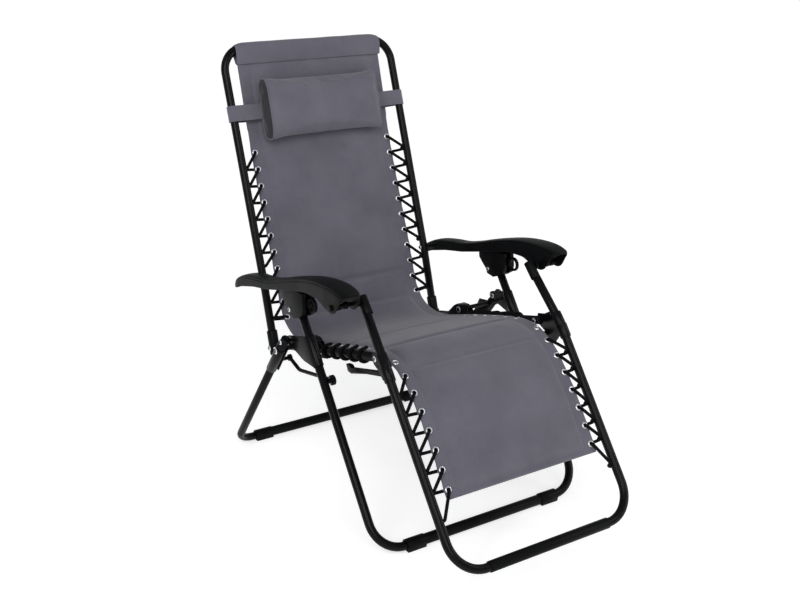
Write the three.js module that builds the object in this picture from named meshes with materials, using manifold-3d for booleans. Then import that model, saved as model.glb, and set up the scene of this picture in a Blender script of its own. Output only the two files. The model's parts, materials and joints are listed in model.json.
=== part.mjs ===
// A zero gravity recliner: two crossed U legs, a laced padded sling on three hinged frames,
// moulded armrests that slide over the front legs, and an adjustable head pillow.
// Millimetres, +Z up. The sitter faces -Y, so the sitter's left side is +X.
// Side shapes are (y, z) points in a plane of constant x.
import * as THREE from 'three';
import { mergeVertices } from 'three/addons/utils/BufferGeometryUtils.js';
import Module from 'manifold-3d';

const wasm = await Module();
wasm.setup();

// ---------------------------------------------------------------- driving dimensions
const SHIFT_Y = 82;               // puts the origin under the middle of the whole chair
const TUBE_R = 11;                // all frame tubes are 22 mm
const TUBE_SIDES = 12;
const CLEAR = 0.4;                // gap between pieces that touch
const BORE_R = 12;                // bore of anything that a frame tube passes through

const BACK_X = 263;               // half spacings of the frame tubes
const KNEE_X = 261;
const KNEE_TOP_X = 249;
const RAIL_X = 236;
const FRONT_X = 308;
const REAR_X = 336;
const STAY_X = 285;

const BAR_Z = 14;                 // height of the two floor bars
const FRONT_BAR = [-392, BAR_Z];
const REAR_BAR = [335, BAR_Z];
const KNEE_BAR = [-648, 75];
const BACK_TOP = [482, 1098];
const BACK_BEND = [279, 515];
const KNEE_BEND = [-349, 468];

const BACK_PIVOT = [222, 325];    // back frame on the seat rails
const KNEE_PIVOT = [-284, 465];   // leg rest frame on the seat rails
const SEAT_PIVOT = [37, 397];     // seat rails on the rear legs
const LEG_PIVOT = [14, 427];      // rear legs on the front legs
const STAY_PIVOT = [-140, 366];   // folding stays on the front legs
const ARM_PIVOT = [278, 512];     // armrests on the back frame
const ARM_AXLE = [-232, 592];     // armrests on the top of the leg rest frame
const FRONT_TOP = [-13, 538];     // top end of the front leg tubes
const LEVER_PIVOT = [-55, 545];   // lock levers on their housings

const PIN_R = 4;
const PIN_HOLE_R = 4.6;
const AXLE_R = 6;
const AXLE_HOLE_R = 6.7;

const SLING_HALF = 223;           // half width of the sling at its hems
const PAD_HALF = 186;             // half width of its padded middle
const PAD_T = 7;                  // half thickness of the padded middle
const HEM_T = 2;                  // half thickness of the hems
const EYELET_X = 212;
const EYELET_PITCH = 46;
const LEG_EYELET_PITCH = 46.5;
const BACK_CORNER_R = 66;
const EYELET_HOLE = 5;            // half side of the hole in the hem
const CORD_R = 3;
const CORD_SIDES = 5;
const CORD_RISE = 7.6;            // the lacing's distance from the hem at an eyelet
const WRAP_R = 15.3;              // the lacing's centre line round a tube

const STEEL = { color: 0x17181b, roughness: 0.35, metalness: 0.6 };
const PLASTIC = { color: 0x141416, roughness: 0.55, metalness: 0 };
const FABRIC = { color: 0x5b5964, roughness: 0.95, metalness: 0 };
const CORD = { color: 0x101012, roughness: 0.9, metalness: 0 };
const RIVET = { color: 0xb9bcc0, roughness: 0.3, metalness: 0.9 };

const chair = new THREE.Group();
chair.position.y = SHIFT_Y;

// ---------------------------------------------------------------- small tools
const unit = ([y0, z0], [y1, z1]) => {
  const length = Math.hypot(y1 - y0, z1 - z0);
  return [(y1 - y0) / length, (z1 - z0) / length];
};
const along = ([y, z], [dy, dz], distance) => [y + dy * distance, z + dz * distance];
const pointAtHeight = ([y0, z0], [y1, z1], z) => [y0 + (y1 - y0) * (z - z0) / (z1 - z0), z];
const at = (x, [y, z]) => new THREE.Vector3(x, y, z);

function addMesh(name, geometry, finish) {
  const mesh = new THREE.Mesh(geometry, new THREE.MeshStandardMaterial(finish));
  mesh.name = name;
  chair.add(mesh);
  return mesh;
}

// The shape is drawn on the sitter's left; the right one is its mirror image.
function addPair(name, geometry, finish) {
  addMesh(`${name}_left`, geometry, finish);
  addMesh(`${name}_right`, geometry, finish).scale.x = -1;
}

function toSolid(geometry) {
  const bare = geometry.clone();
  bare.deleteAttribute('normal');
  bare.deleteAttribute('uv');
  const merged = mergeVertices(bare, 1e-3);
  const mesh = new wasm.Mesh({
    numProp: 3,
    vertProperties: new Float32Array(merged.attributes.position.array),
    triVerts: new Uint32Array(merged.index.array),
  });
  return new wasm.Manifold(mesh);
}

function toGeometry(solid) {
  const mesh = solid.getMesh();
  const geometry = new THREE.BufferGeometry();
  geometry.setAttribute('position', new THREE.BufferAttribute(mesh.vertProperties, 3));
  geometry.setIndex(new THREE.BufferAttribute(mesh.triVerts, 1));
  return geometry;
}

const join = (...pieces) => toGeometry(pieces.map(toSolid).reduce((sum, piece) => sum.add(piece)));
const cut = (piece, ...tools) => {
  const solids = tools.map(toSolid);
  return toGeometry(solids.reduce((rest, tool) => rest.subtract(tool), toSolid(piece)));
};
const common = (a, b) => toGeometry(toSolid(a).intersect(toSolid(b)));

// ---------------------------------------------------------------- shapes
const circlePoints = (radius, sides, [y, z] = [0, 0]) => {
  const points = [];
  for (let i = 0; i < sides; i += 1) {
    const angle = (2 * Math.PI * (i + 0.5)) / sides;
    points.push([y + radius * Math.cos(angle), z + radius * Math.sin(angle)]);
  }
  return points;
};

function shapeOf(points, hole) {
  const shape = new THREE.Shape(points.map(([a, b]) => new THREE.Vector2(a, b)));
  if (hole) {
    shape.holes.push(new THREE.Path(hole.map(([a, b]) => new THREE.Vector2(a, b))));
  }
  return shape;
}

// A side outline of (y, z) points made as thick as x0..x1.
function plate(points, x0, x1, hole) {
  const geometry = new THREE.ExtrudeGeometry(shapeOf(points, hole), {
    depth: x1 - x0, bevelEnabled: false, steps: 1,
  });
  const toSide = new THREE.Matrix4().makeBasis(
    new THREE.Vector3(0, 1, 0), new THREE.Vector3(0, 0, 1), new THREE.Vector3(1, 0, 0));
  return geometry.applyMatrix4(toSide).translate(x0, 0, 0);
}

const pin = (centre, radius, x0, x1, sides = 12) => plate(circlePoints(radius, sides, centre), x0, x1);

// A round ring or rod at x, from the side point a to the side point b.
function sleeve(a, b, x, outer, inner) {
  const length = Math.hypot(b[0] - a[0], b[1] - a[1]);
  const shape = shapeOf(circlePoints(outer, TUBE_SIDES), inner && circlePoints(inner, TUBE_SIDES));
  const geometry = new THREE.ExtrudeGeometry(shape, { depth: length, bevelEnabled: false, steps: 1 });
  const [dy, dz] = unit(a, b);
  const turn = new THREE.Quaternion().setFromUnitVectors(
    new THREE.Vector3(0, 0, 1), new THREE.Vector3(0, dy, dz));
  return geometry.applyQuaternion(turn).translate(x, a[0], a[1]);
}

// A curve through given points, one extrusion step from each point to the next.
class Route extends THREE.Curve {
  constructor(points) {
    super();
    this.points = points;
  }

  getPoint(t, target = new THREE.Vector3()) {
    const last = this.points.length - 1;
    const index = Math.min(Math.floor(t * last + 1e-6), last - 1);
    return target.lerpVectors(this.points[index], this.points[index + 1], t * last - index);
  }

  getPointAt(u, target) {
    return this.getPoint(u, target);
  }

  getTangentAt(u, target = new THREE.Vector3()) {
    const last = this.points.length - 1;
    const index = Math.round(u * last);
    const before = this.points[Math.max(index - 1, 0)];
    const here = this.points[index];
    const after = this.points[Math.min(index + 1, last)];
    const arriving = new THREE.Vector3().subVectors(here, before).normalize();
    const leaving = new THREE.Vector3().subVectors(after, here).normalize();
    return target.addVectors(arriving, leaving).normalize();
  }
}

function tube(points, radius, sides = TUBE_SIDES) {
  return new THREE.ExtrudeGeometry(shapeOf(circlePoints(radius, sides)), {
    extrudePath: new Route(points), steps: points.length - 1, bevelEnabled: false,
  });
}

// Rounds the corners of a route: radii[i] belongs to points[i].
function rounded(points, radii, steps = 6) {
  const route = [points[0]];
  for (let i = 1; i < points.length - 1; i += 1) {
    const corner = points[i];
    const back = new THREE.Vector3().subVectors(points[i - 1], corner).normalize();
    const ahead = new THREE.Vector3().subVectors(points[i + 1], corner).normalize();
    const half = back.angleTo(ahead) / 2;
    const reach = radii[i] / Math.tan(half);
    const middle = new THREE.Vector3().addVectors(back, ahead).normalize();
    const centre = corner.clone().addScaledVector(middle, radii[i] / Math.sin(half));
    const from = corner.clone().addScaledVector(back, reach).sub(centre);
    const to = corner.clone().addScaledVector(ahead, reach).sub(centre);
    const sweep = from.angleTo(to);
    const count = Math.max(2, Math.round(steps * sweep / (Math.PI / 2)));
    for (let k = 0; k <= count; k += 1) {
      const share = k / count;
      const a = Math.sin((1 - share) * sweep) / Math.sin(sweep);
      const b = Math.sin(share * sweep) / Math.sin(sweep);
      route.push(centre.clone().addScaledVector(from, a).addScaledVector(to, b));
    }
  }
  route.push(points.at(-1));
  return route;
}

// A U of tube: side points from one open end to the bar, then mirrored to the other side.
function uFrame(side, cornerRadius, bendRadius, tubeRadius = TUBE_R) {
  const half = side.map(([x, point]) => at(x, point));
  const other = half.map((p) => new THREE.Vector3(-p.x, p.y, p.z)).reverse();
  const radii = side.map(() => bendRadius);
  radii[side.length - 1] = cornerRadius;
  return tube(rounded([...half, ...other], [...radii, ...radii.slice().reverse()]), tubeRadius);
}

// Closed skin through rings of the same number of points, faces turned outwards.
function loft(rings) {
  const size = rings[0].length;
  const points = rings.flat();
  const faces = [];
  for (let r = 0; r + 1 < rings.length; r += 1) {
    for (let k = 0; k < size; k += 1) {
      const a = r * size + k;
      const b = r * size + ((k + 1) % size);
      faces.push([a, b, b + size], [a, b + size, a + size]);
    }
  }
  for (const [ring, first, turned] of [[rings[0], 0, true], [rings.at(-1), points.length - size, false]]) {
    const centre = ring.reduce((sum, p) => sum.add(p), new THREE.Vector3()).divideScalar(size);
    const centreIndex = points.push(centre) - 1;
    for (let k = 0; k < size; k += 1) {
      const edge = [first + k, first + ((k + 1) % size)];
      faces.push(turned ? [edge[1], edge[0], centreIndex] : [edge[0], edge[1], centreIndex]);
    }
  }
  const volume = faces.reduce((sum, [a, b, c]) =>
    sum + points[a].dot(new THREE.Vector3().crossVectors(points[b], points[c])), 0);
  const index = volume > 0 ? faces.flat() : faces.flatMap(([a, b, c]) => [a, c, b]);
  const geometry = new THREE.BufferGeometry().setFromPoints(points);
  geometry.setIndex(index);
  return geometry;
}

// ---------------------------------------------------------------- frames and legs
const backLow = unit(BACK_PIVOT, BACK_BEND);
const backHigh = unit(BACK_BEND, BACK_TOP);
const kneeLow = unit(KNEE_BAR, KNEE_BEND);
const kneeHigh = unit(KNEE_BEND, ARM_AXLE);
const frontUp = unit(FRONT_BAR, FRONT_TOP);
const rearUp = unit(REAR_BAR, LEG_PIVOT);
const railForward = unit(BACK_PIVOT, KNEE_PIVOT);

const BACK_FOOT = along(BACK_PIVOT, backLow, -16);
const KNEE_END = along(ARM_AXLE, kneeHigh, 12);
const REAR_END = along(LEG_PIVOT, rearUp, 12);

function bothSides(centre, radius, x0, x1) {
  const left = pin(centre, radius, x0, x1);
  return [left, pin(centre, radius, -x1, -x0)];
}

const backSide = [[BACK_X, BACK_FOOT], [BACK_X, BACK_BEND], [BACK_X, BACK_TOP]];
const backFrame = cut(
  uFrame(backSide, BACK_CORNER_R, 400),
  ...bothSides(BACK_PIVOT, PIN_HOLE_R, 240, 290),
  ...bothSides(ARM_PIVOT, PIN_HOLE_R, 240, 290));
addMesh('back_frame', backFrame, STEEL);

addMesh('leg_rest_frame',
  uFrame([[KNEE_TOP_X, KNEE_END], [KNEE_X, KNEE_BEND], [KNEE_X, KNEE_BAR]], 80, 400), STEEL);
addMesh('front_leg_frame', uFrame([[FRONT_X, FRONT_TOP], [FRONT_X, FRONT_BAR]], 75, 0), STEEL);

const rearFrame = cut(
  uFrame([[REAR_X, REAR_END], [REAR_X, REAR_BAR]], 48, 0),
  ...bothSides(LEG_PIVOT, PIN_HOLE_R, 320, 352),
  ...bothSides(SEAT_PIVOT, AXLE_HOLE_R, 320, 352));
addMesh('rear_leg_frame', rearFrame, STEEL);

const railEnds = [along(BACK_PIVOT, railForward, -10), along(KNEE_PIVOT, railForward, 13)];
addPair('seat_rail', cut(
  tube(railEnds.map((end) => at(RAIL_X, end)), TUBE_R),
  pin(BACK_PIVOT, PIN_HOLE_R, 220, 250),
  pin(KNEE_PIVOT, PIN_HOLE_R, 220, 250)), STEEL);

// ---------------------------------------------------------------- floor feet and bar sleeves
const FOOT_R = 15.5;
const FOOT_LENGTH = 52;

function footOutline([y, z]) {
  const points = [];
  for (let i = 0; i <= 10; i += 1) {
    const angle = Math.PI * (i / 10);
    points.push([y + FOOT_R * Math.cos(angle), z + FOOT_R * Math.sin(angle)]);
  }
  points.push([y - 13, 0], [y + 13, 0]);
  return points;
}

function addFloorPieces(name, bar, footOuterX) {
  const footInnerX = footOuterX - FOOT_LENGTH;
  const bore = circlePoints(BORE_R, TUBE_SIDES, bar);
  addPair(`${name}_foot`, plate(footOutline(bar), footInnerX, footOuterX, bore), PLASTIC);
  const skinEnd = footInnerX - CLEAR;
  addMesh(`${name}_bar_sleeve`, plate(circlePoints(13.6, TUBE_SIDES, bar), -skinEnd, skinEnd, bore), PLASTIC);
}

addFloorPieces('front', FRONT_BAR, 232);
addFloorPieces('rear', REAR_BAR, 280);
addMesh('leg_rest_bar_sleeve', plate(
  circlePoints(13.6, TUBE_SIDES, KNEE_BAR), -176, 176, circlePoints(BORE_R, TUBE_SIDES, KNEE_BAR)), PLASTIC);

// ---------------------------------------------------------------- leg pivots
// A sleeve round each front leg carries the ear that the rear leg turns on.
const EAR_X = [319.6, 321.9];
const EAR_TOP = pointAtHeight(FRONT_BAR, FRONT_TOP, 464);
const EAR_LOW = pointAtHeight(FRONT_BAR, FRONT_TOP, 398);

function earOutline() {
  const points = [EAR_TOP];
  const [y, z] = LEG_PIVOT;
  for (let degrees = 80; degrees >= -100; degrees -= 30) {
    const angle = THREE.MathUtils.degToRad(degrees);
    points.push([y + 13 * Math.cos(angle), z + 13 * Math.sin(angle)]);
  }
  points.push([-22, 408], [-62, 398], EAR_LOW);
  return points;
}

addPair('leg_bracket', cut(
  join(plate(earOutline(), ...EAR_X), sleeve(EAR_LOW, EAR_TOP, FRONT_X, 13.6, 0)),
  sleeve(along(EAR_LOW, frontUp, -40), along(EAR_TOP, frontUp, 40), FRONT_X, BORE_R, 0),
  pin(LEG_PIVOT, PIN_HOLE_R, 310, 330)), STEEL);
addPair('leg_pivot_rivet', join(
  pin(LEG_PIVOT, PIN_R, 317, 350),
  pin(LEG_PIVOT, 7, 316.6, EAR_X[0] - CLEAR),
  pin(LEG_PIVOT, 7, 347.5, 350)), RIVET);

// A wedge on each rear leg carries the seat axle and faces the end of the folding stay.
const WEDGE_TOP = pointAtHeight(REAR_BAR, LEG_PIVOT, 402);
const WEDGE_LOW = pointAtHeight(REAR_BAR, LEG_PIVOT, 324);
const STUD = [88, 346];
const wedgeOutline = [[14, 407], [78, 399], [104, 352], [106, 326], [78, 322]];
addPair('rear_leg_bracket', cut(
  join(
    plate(wedgeOutline, 322.6, 324.9),
    sleeve(WEDGE_LOW, WEDGE_TOP, REAR_X, 13.8, 0),
    pin(STUD, 5, 291, 324)),
  sleeve(along(WEDGE_LOW, rearUp, -30), along(WEDGE_TOP, rearUp, 30), REAR_X, BORE_R, 0),
  pin(SEAT_PIVOT, AXLE_HOLE_R, 310, 352)), STEEL);

addPair('seat_axle', join(
  pin(SEAT_PIVOT, AXLE_R, 218, 352),
  pin(SEAT_PIVOT, 10, 350.4, 353)), RIVET);

// A saddle folded over each rail hangs the seat on the axle above the rail.
const saddleOutline = [[-8, 362], [92, 334], [94, 372], [66, 400], [52, 409], [28, 411], [12, 403], [-6, 388]];
const SADDLE_X = [223.4, 250];
const saddleHollow = plate([[-60, 280], [140, 280], [140, 404], [-60, 404]], 224.7, 247.3);
addPair('rail_saddle', cut(
  plate(saddleOutline, ...SADDLE_X), saddleHollow,
  pin(SEAT_PIVOT, AXLE_HOLE_R, 210, 260)), STEEL);

// ---------------------------------------------------------------- folding stays
const stayRoute = rounded(
  [at(STAY_X, STAY_PIVOT), at(STAY_X, [34, 330]), at(STAY_X, STUD)], [0, 34, 0], 8);
addPair('folding_stay', join(
  tube(stayRoute, 5, 8),
  pin(STAY_PIVOT, 13, STAY_X - 5.5, STAY_X + 5),
  pin(STAY_PIVOT, 6, STAY_X, FRONT_X - TUBE_R - CLEAR),
  pin(STUD, 9, STAY_X - 5, STAY_X + 5)), STEEL);

// ---------------------------------------------------------------- back frame ends
const cupEnd = along(BACK_PIVOT, backLow, -20);
const cupTop = along(BACK_PIVOT, backLow, 46);
addPair('back_end_cup', cut(
  sleeve(cupEnd, cupTop, BACK_X, 14.5, 0),
  sleeve(along(cupEnd, backLow, 3), along(cupTop, backLow, 10), BACK_X, BORE_R, 0),
  pin(BACK_PIVOT, PIN_HOLE_R, 240, 290)), PLASTIC);
addPair('back_pivot_bolt', join(
  pin(BACK_PIVOT, PIN_R, 221, 281),
  pin(BACK_PIVOT, 8, 221, RAIL_X - TUBE_R - CLEAR),
  pin(BACK_PIVOT, 8, 278.1, 281)), RIVET);
addPair('arm_pivot_bolt', join(
  pin(ARM_PIVOT, PIN_R, 247, 290.4),
  pin(ARM_PIVOT, 7, 247, BACK_X - TUBE_R - CLEAR),
  pin(ARM_PIVOT, 7, 287.5, 290.4)), RIVET);

// ---------------------------------------------------------------- knee brackets and stop arms
const KNEE_SLEEVE = [along(KNEE_BEND, kneeLow, -34), along(KNEE_BEND, kneeHigh, 34)];
const PLATE_X = [247.7, 250.3];
const kneeOutline = [[-318, 497], [-296, 484], [-272, 478], [-268, 462], [-280, 449],
  [-300, 440], [-318, 424], [-345, 422], [-362, 448]];
addPair('knee_bracket', cut(
  join(
    plate(kneeOutline, ...PLATE_X),
    sleeve(KNEE_SLEEVE[0], KNEE_BEND, KNEE_X, 14, 0),
    sleeve(along(KNEE_BEND, kneeHigh, -2), KNEE_SLEEVE[1], KNEE_X - 1.4, 14, 0)),
  sleeve(along(KNEE_BEND, kneeLow, -60), along(KNEE_BEND, kneeLow, 3), KNEE_X, BORE_R, 0),
  sleeve(along(KNEE_BEND, kneeHigh, -6), along(KNEE_BEND, kneeHigh, 60), KNEE_X - 1.5, BORE_R + 0.8, 0),
  pin(KNEE_PIVOT, PIN_HOLE_R, 240, 260)), STEEL);
addPair('knee_pivot_rivet', join(
  pin(KNEE_PIVOT, PIN_R, 223.4, 253.5),
  pin(KNEE_PIVOT, 7.5, 223.4, RAIL_X - TUBE_R - CLEAR),
  pin(KNEE_PIVOT, 7.5, 250.8, 253.5)), RIVET);
const stopOutline = [[-312, 441], [-240, 421], [-166, 399], [-158, 404], [-142, 402],
  [-150, 385], [-166, 384], [-238, 409], [-312, 429]];
addPair('stop_arm', plate(stopOutline, 236, PLATE_X[0] - CLEAR), STEEL);

// ---------------------------------------------------------------- armrests
const ARM_X = [284, 332];
const ARM_WALL = 3;
const armTop = new THREE.SplineCurve([[-286, 634], [-240, 642], [-180, 640], [-120, 631], [-60, 616],
  [0, 598], [60, 578], [125, 560], [190, 550], [255, 536], [300, 516], [328, 494]]
  .map(([y, z]) => new THREE.Vector2(y, z))).getPoints(22).map((p) => [p.x, p.y]);
const armUnder = [[322, 482], [298, 487], [270, 499], [196, 519], [119, 534], [50, 552], [-30, 574],
  [-100, 590], [-160, 594], [-205, 580], [-234, 575], [-256, 586], [-262, 606], [-284, 628]];

function armPlan() {
  const inner = [[284, 330], [284, -60], [278, -200], [280, -270], [288, -290]];
  const outer = [[328, -290], [336, -270], [338, -200], [332, -60], [332, 300], [324, 322], [306, 332]];
  const shape = shapeOf([...inner, ...outer]);
  const geometry = new THREE.ExtrudeGeometry(shape, { depth: 300, bevelEnabled: false, steps: 1 });
  return geometry.translate(0, 0, 420);
}

const ceiling = armTop.filter(([y]) => y > -258 && y < 305).map(([y, z]) => [y, z - 4.5]);
const armHollow = plate([[-252, 520], ...ceiling, [305, 440], [-252, 440]],
  ARM_X[0] + ARM_WALL, ARM_X[1] - ARM_WALL);
const armShell = cut(
  common(plate([...armTop, ...armUnder], 270, 345), armPlan()),
  armHollow,
  pin(ARM_PIVOT, PIN_HOLE_R, 275, 295),
  pin(ARM_AXLE, 5.6, 270, 345));
addPair('armrest', armShell, PLASTIC);

const AXLE_INNER_X = KNEE_TOP_X + TUBE_R + 3;
addPair('armrest_axle', join(
  pin(ARM_AXLE, 5, AXLE_INNER_X, 342),
  pin(ARM_AXLE, 10, AXLE_INNER_X, AXLE_INNER_X + 6),
  pin(ARM_AXLE, 9, 294, 306),
  pin(ARM_AXLE, 9, 312, 324),
  pin(ARM_AXLE, 8, 338.6, 342)), STEEL);

// ---------------------------------------------------------------- lock housings and levers
const HOUSING_X = [290.5, 325.5];
const housingOutline = [[44, 558], [42, 540], [26, 526], [10, 514], [4, 502], [-24, 498], [-46, 507],
  [-66, 520], [-71, 538], [-66, 574], [-20, 574], [24, 564]];
const leverSlot = plate([[-42, 524], [-90, 500], [-90, 600], [-42, 600]], 301, 315);
addPair('lock_housing', join(
  cut(
    plate(housingOutline, ...HOUSING_X),
    sleeve(along(FRONT_TOP, frontUp, -80), along(FRONT_TOP, frontUp, 3), FRONT_X, BORE_R, 0),
    leverSlot),
  pin(LEVER_PIVOT, 3, 300, 316)), PLASTIC);

const RING = [-90, 550];
addPair('lock_lever', cut(
  join(
    pin(RING, 19, 302.5, 313.5, 20),
    plate([[-48, 553], [-74, 564], [-74, 538], [-48, 537]], 302.5, 313.5)),
  pin(RING, 12.5, 295, 320, 20),
  pin(LEVER_PIVOT, 3.7, 295, 320)), PLASTIC);

// ---------------------------------------------------------------- sling
// The hem line in side view, from the top bar over the hip and the knee to the foot end.
const slingLine = new THREE.SplineCurve([[479, 1085], [443, 958], [406, 824], [358, 691], [312, 572],
  [276, 470], [262, 428], [240, 392], [204, 367], [158, 357], [100, 362], [22, 385], [-68, 413],
  [-162, 440], [-224, 455], [-270, 461], [-314, 455], [-356, 436], [-393, 408], [-454, 340],
  [-509, 264], [-546, 207]].map(([y, z]) => new THREE.Vector2(y, z)));
slingLine.arcLengthDivisions = 800;

function linePlace(u) {
  const point = slingLine.getPointAt(u);
  const tangent = slingLine.getTangentAt(u);
  return { point, front: new THREE.Vector2(tangent.y, -tangent.x) };
}

function lineShareNear([y, z]) {
  let best = 0;
  let bestDistance = Infinity;
  for (let i = 0; i <= 800; i += 1) {
    const point = slingLine.getPointAt(i / 800);
    const distance = Math.hypot(point.x - y, point.y - z);
    if (distance < bestDistance) {
      bestDistance = distance;
      best = i / 800;
    }
  }
  return best;
}

function panelRing(u) {
  const { point, front } = linePlace(u);
  const slope = PAD_HALF + 12;
  const section = [[-SLING_HALF, -HEM_T], [-slope, -HEM_T], [-PAD_HALF, -PAD_T], [PAD_HALF, -PAD_T],
    [slope, -HEM_T], [SLING_HALF, -HEM_T], [SLING_HALF, HEM_T], [slope, HEM_T],
    [PAD_HALF, PAD_T], [-PAD_HALF, PAD_T], [-slope, HEM_T], [-SLING_HALF, HEM_T]];
  return section.map(([x, n]) => new THREE.Vector3(x, point.x + front.x * n, point.y + front.y * n));
}

function slingPanel(uStart, uEnd, count) {
  const rings = [];
  for (let i = 0; i <= count; i += 1) {
    rings.push(panelRing(uStart + (uEnd - uStart) * (i / count)));
  }
  return loft(rings);
}

// Eyelets sit at an even pitch between two shares of the line.
function eyelets(uStart, count, pitch = EYELET_PITCH) {
  const step = pitch / slingLine.getLength();
  return Array.from({ length: count }, (_, i) => linePlace(uStart + i * step));
}

function eyeletHoles(places) {
  return places.flatMap(({ point, front }) => [-1, 1].map((side) => {
    const across = new THREE.Vector3(1, 0, 0);
    const through = new THREE.Vector3(0, front.x, front.y);
    const length = new THREE.Vector3().crossVectors(through, across);
    const box = new THREE.BoxGeometry(2 * EYELET_HOLE, 2 * EYELET_HOLE, 12);
    box.applyMatrix4(new THREE.Matrix4().makeBasis(across, length, through));
    return box.translate(side * EYELET_X, point.x, point.y);
  }));
}

const uHip = lineShareNear([214, 372]);
const uKnee = lineShareNear([-290, 459]);
const uStep = 1 / slingLine.getLength();
const backEyelets = eyelets(lineShareNear([406, 824]), 11);
const seatEyelets = eyelets(lineShareNear([-8, 395]), 6);
const legEyelets = eyelets(lineShareNear([-312, 455]), 8, LEG_EYELET_PITCH);

const POCKET_HALF = 206;
const pocket = plate(circlePoints(15.5, TUBE_SIDES, BACK_TOP), -POCKET_HALF, POCKET_HALF);
const pocketBore = uFrame(backSide, BACK_CORNER_R, 400, BORE_R);
addMesh('sling_back', cut(
  join(slingPanel(0, uHip - uStep, 15), pocket),
  pocketBore, ...eyeletHoles(backEyelets)), FABRIC);
addMesh('sling_seat', cut(
  slingPanel(uHip + uStep, uKnee - 9 * uStep, 10), ...eyeletHoles(seatEyelets)), FABRIC);
addMesh('sling_leg', cut(
  slingPanel(uKnee + 9 * uStep, 1, 8), ...eyeletHoles(legEyelets)), FABRIC);

// ---------------------------------------------------------------- lacing
// The nearest place to a side point on a line of side points, with the line's direction
// there and the direction across it that points to the front.
function beside(line, [y, z]) {
  let best = { distance: Infinity };
  for (let i = 0; i + 1 < line.length; i += 1) {
    const axis = unit(line[i], line[i + 1]);
    const length = Math.hypot(line[i + 1][0] - line[i][0], line[i + 1][1] - line[i][1]);
    const run = (y - line[i][0]) * axis[0] + (z - line[i][1]) * axis[1];
    const centre = along(line[i], axis, THREE.MathUtils.clamp(run, 0, length));
    const distance = Math.hypot(y - centre[0], z - centre[1]);
    if (distance < best.distance) {
      const normal = [-axis[1], axis[0]];
      const facing = normal[1] > normal[0] ? normal : [axis[1], -axis[0]];
      best = { centre, axis, facing, distance };
    }
  }
  return best;
}

const besideEyelet = ({ point, front }, n) =>
  new THREE.Vector3(EYELET_X, point.x + front.x * n, point.y + front.y * n);

// Round the tube: up through an eyelet, over and round the rail, and under the hem to the next.
function wrappedLacing(places, tubeX, line) {
  const route = [];
  places.forEach((place, i) => {
    route.push(besideEyelet(place, -CORD_RISE), besideEyelet(place, CORD_RISE));
    if (i === places.length - 1) {
      return;
    }
    const here = place.point;
    const next = places[i + 1].point;
    const { centre, axis, facing } = beside(line, [(here.x + next.x) / 2, (here.y + next.y) / 2]);
    const tangentAngle = (p, side) => {
      const inward = EYELET_X - tubeX;
      const height = (p.x - centre[0]) * facing[0] + (p.y - centre[1]) * facing[1] + CORD_RISE * side;
      const bearing = (Math.atan2(height * side, inward) + 2 * Math.PI) % (2 * Math.PI);
      return side * (bearing - Math.acos(WRAP_R / Math.hypot(inward, height)));
    };
    const from = tangentAngle(here, 1);
    const to = tangentAngle(next, -1);
    const count = Math.ceil((from - to) / 0.6);
    for (let k = 0; k <= count; k += 1) {
      const angle = from + (to - from) * (k / count);
      const spot = along(along(centre, facing, WRAP_R * Math.sin(angle)), axis, 6 * (k / count - 0.5));
      route.push(at(tubeX + WRAP_R * Math.cos(angle), spot));
    }
  });
  return tube(route, CORD_R, CORD_SIDES);
}

// Along the tube's inner side: down from the front of an eyelet to the tube, a turn round
// the tube's inner rear quarter, and back to the next eyelet from behind.
const HOLD_FROM = THREE.MathUtils.degToRad(160);
const HOLD_TO = THREE.MathUtils.degToRad(250);

function steepLacing(places, tubeX, line, pitch, lastDrop) {
  const route = [];
  places.forEach((place, i) => {
    const last = i === places.length - 1;
    const drop = last ? lastDrop : 0.8 * pitch;
    route.push(besideEyelet(place, -CORD_RISE), besideEyelet(place, CORD_RISE));
    const { centre, axis, facing } = beside(line, [place.point.x, place.point.y]);
    for (let k = 0; k <= 3; k += 1) {
      const angle = HOLD_FROM + (HOLD_TO - HOLD_FROM) * (k / 3);
      const spot = along(along(centre, axis, drop + 2 * k), facing, WRAP_R * Math.sin(angle));
      route.push(at(tubeX + WRAP_R * Math.cos(angle), spot));
    }
  });
  return tube(route, CORD_R, CORD_SIDES);
}

const backLine = [BACK_TOP, BACK_BEND, BACK_PIVOT];
const legLine = [KNEE_BEND, KNEE_BAR];
addPair('back_lacing_upper',
  steepLacing(backEyelets.slice(0, 7), BACK_X, backLine, EYELET_PITCH, 0.7 * EYELET_PITCH), CORD);
addPair('back_lacing_lower',
  steepLacing(backEyelets.slice(7), BACK_X, backLine, EYELET_PITCH, -6), CORD);
addPair('seat_lacing', wrappedLacing(seatEyelets, RAIL_X, [BACK_PIVOT, KNEE_PIVOT]), CORD);
addPair('leg_lacing',
  steepLacing(legEyelets.slice(1), KNEE_X, legLine, LEG_EYELET_PITCH, 1.3 * LEG_EYELET_PITCH), CORD);

// ---------------------------------------------------------------- head pillow
const PILLOW_CENTRE = [400, 940];
const pillowUp = unit([406, 824], [479, 1085]);
const PILLOW_SIZE = { halfWidth: 182, halfHeight: 89, halfDepth: 24, round: 16 };
const STRAP_HALF = 21;

function pillowOutline() {
  const { halfHeight, halfDepth, round } = PILLOW_SIZE;
  const front = [-pillowUp[1], pillowUp[0]];
  const points = [];
  for (const [cu, cn, start] of [[1, 1, 0], [-1, 1, 90], [-1, -1, 180], [1, -1, 270]]) {
    for (let k = 0; k <= 3; k += 1) {
      const angle = THREE.MathUtils.degToRad(start + 30 * k);
      const u = cu * (halfHeight - round) + round * Math.cos(angle);
      const n = cn * (halfDepth - round) + round * Math.sin(angle);
      points.push(along(along(PILLOW_CENTRE, pillowUp, u), front, n));
    }
  }
  return points;
}

addMesh('head_pillow', plate(pillowOutline(), -PILLOW_SIZE.halfWidth, PILLOW_SIZE.halfWidth), FABRIC);

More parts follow.
